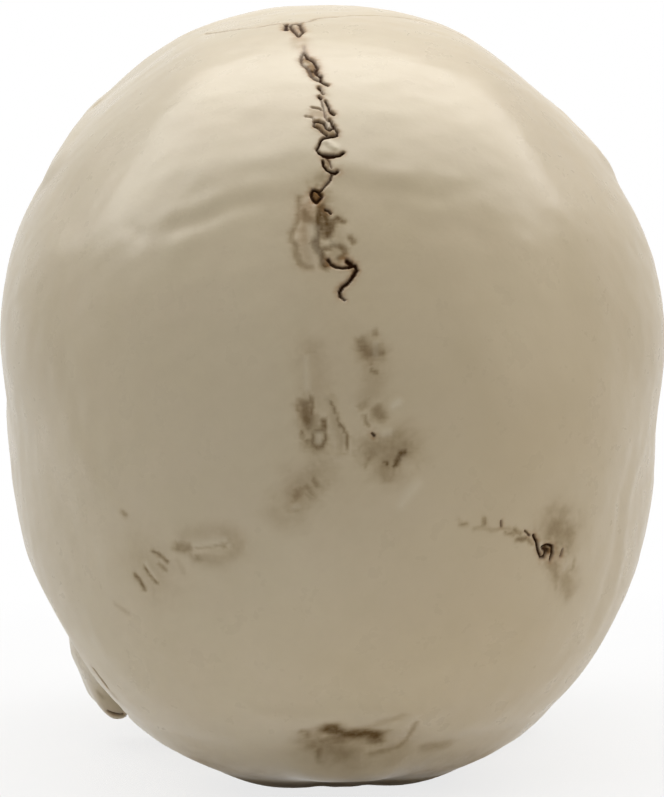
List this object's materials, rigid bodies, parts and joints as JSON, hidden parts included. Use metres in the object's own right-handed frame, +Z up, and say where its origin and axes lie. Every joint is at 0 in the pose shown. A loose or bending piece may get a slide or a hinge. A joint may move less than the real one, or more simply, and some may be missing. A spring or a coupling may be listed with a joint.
{
  "type": "anatomical skull model",
  "caption": "Life-size hollow cast human skull for teaching: a one-piece cranium, a lower jaw that opens on two coil springs, and separate set-in teeth.",
  "frame": {"origin": "middle of the bounding box's bottom face, on the table that the skull stands on", "axes": "+Z up from the table, +Y towards the face, +X to the skull's own right; the ear-hole axis is parallel to X"},
  "size_m": [0.1355, 0.2146, 0.1656],
  "materials": {
    "bone_plastic": "glossy warm cream cast plastic with brown-stained sutures",
    "tooth_plastic": "glossy ivory",
    "spring_steel": "drawn wire",
    "screw_steel": "plated"
  },
  "bodies": {
    "cranium_body": {"cranium": "bone_plastic", "upper_left_canine": "tooth_plastic", "upper_left_central_incisor": "tooth_plastic", "upper_left_first_molar": "tooth_plastic", "upper_left_first_premolar": "tooth_plastic", "upper_left_lateral_incisor": "tooth_plastic", "upper_left_second_molar": "tooth_plastic", "upper_left_second_premolar": "tooth_plastic", "upper_left_third_molar": "tooth_plastic", "upper_right_canine": "tooth_plastic", "upper_right_central_incisor": "tooth_plastic", "upper_right_first_molar": "tooth_plastic", "upper_right_first_premolar": "tooth_plastic", "upper_right_lateral_incisor": "tooth_plastic", "upper_right_second_molar": "tooth_plastic", "upper_right_second_premolar": "tooth_plastic", "upper_right_third_molar": "tooth_plastic", "left_upper_spring_screw": "screw_steel", "right_upper_spring_screw": "screw_steel", "left_jaw_spring": "spring_steel", "right_jaw_spring": "spring_steel"},
    "jaw_body": {"mandible": "bone_plastic", "lower_left_canine": "tooth_plastic", "lower_left_central_incisor": "tooth_plastic", "lower_left_first_molar": "tooth_plastic", "lower_left_first_premolar": "tooth_plastic", "lower_left_lateral_incisor": "tooth_plastic", "lower_left_second_molar": "tooth_plastic", "lower_left_second_premolar": "tooth_plastic", "lower_left_third_molar": "tooth_plastic", "lower_right_canine": "tooth_plastic", "lower_right_central_incisor": "tooth_plastic", "lower_right_first_molar": "tooth_plastic", "lower_right_first_premolar": "tooth_plastic", "lower_right_lateral_incisor": "tooth_plastic", "lower_right_second_molar": "tooth_plastic", "lower_right_second_premolar": "tooth_plastic", "lower_right_third_molar": "tooth_plastic", "left_lower_spring_screw": "screw_steel", "right_lower_spring_screw": "screw_steel"}
  },
  "joints": [
    {"name": "jaw_hinge", "type": "hinge", "parent": "cranium_body", "child": "jaw_body", "pos_m": [0, 0.01496, 0.04496], "axis": [-1, 0, 0], "range_deg": [0, 30], "stiffness_Nm_per_rad": 0.25, "springref_deg": -22.92, "deforming": ["left_jaw_spring", "right_jaw_spring"]}
  ]
}
